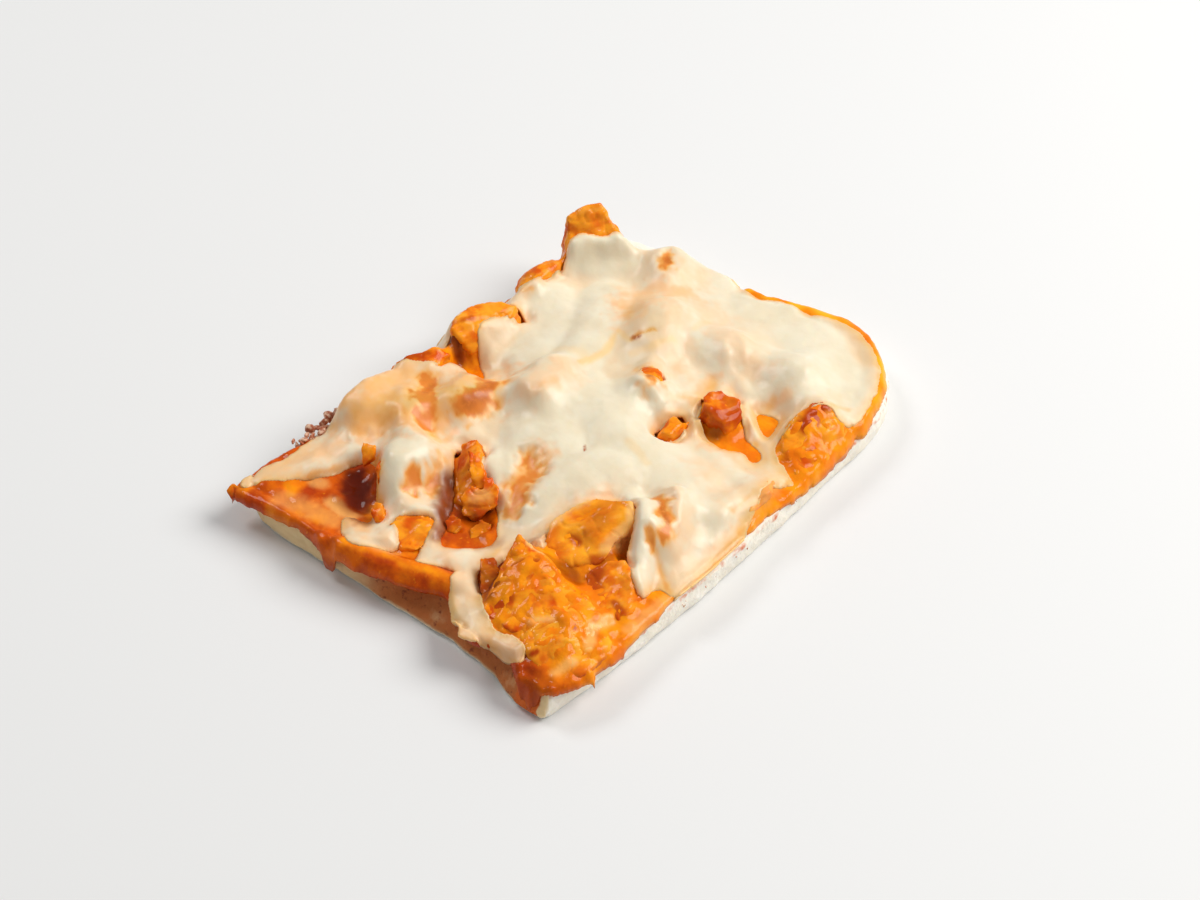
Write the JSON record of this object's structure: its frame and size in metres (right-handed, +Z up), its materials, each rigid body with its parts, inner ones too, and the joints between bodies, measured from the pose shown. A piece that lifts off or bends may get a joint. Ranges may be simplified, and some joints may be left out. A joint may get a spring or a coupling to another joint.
{
  "type": "pizza slice",
  "caption": "Rectangular slice of thick pizza with orange sauce, diced sauced chicken and a draped sheet of melted ivory cheese.",
  "frame": {"origin": "middle of the footprint's box, on the surface that the slice rests on", "axes": "+X along the long cut side, +Y along the short front side towards the back, +Z up through the toppings"},
  "size_m": [0.1612, 0.1154, 0.0288],
  "materials": {
    "dough": "matt baked crumb, pale on the cut side and toasted on the front side",
    "sauce": "wet orange sauce with small highlights",
    "cheese": "satin melted cheese, ivory where thick and peach where thin",
    "chicken": "fibrous meat coated in sauce, moist"
  },
  "bodies": {
    "root": {"dough": "dough", "sauce": "sauce", "cheese": "cheese", "chunk_back_corner": "chicken", "chunk_back_ridge": "chicken", "chunk_back_edge": "chicken", "chunk_left_edge": "chicken", "chunk_left_hump": "chicken", "chunk_brown_small": "chicken", "chunk_brown_large": "chicken", "chunk_cave_side": "chicken", "chunk_window": "chicken", "chunk_middle": "chicken", "chunk_front_yellow": "chicken", "chunk_front_peak": "chicken", "chunk_front_low": "chicken", "chunk_front_side": "chicken", "chunk_right_window": "chicken", "chunk_right_side": "chicken", "chunk_right_hump": "chicken", "chunk_right_end": "chicken", "chunk_front_streak": "chicken", "chunk_side_flat": "chicken", "chunk_centre_spot": "chicken", "chunk_far_edge": "chicken", "chunk_back_large": "chicken", "chunk_patch": "chicken", "chunk_front_patch": "chicken"}
  },
  "joints": []
}
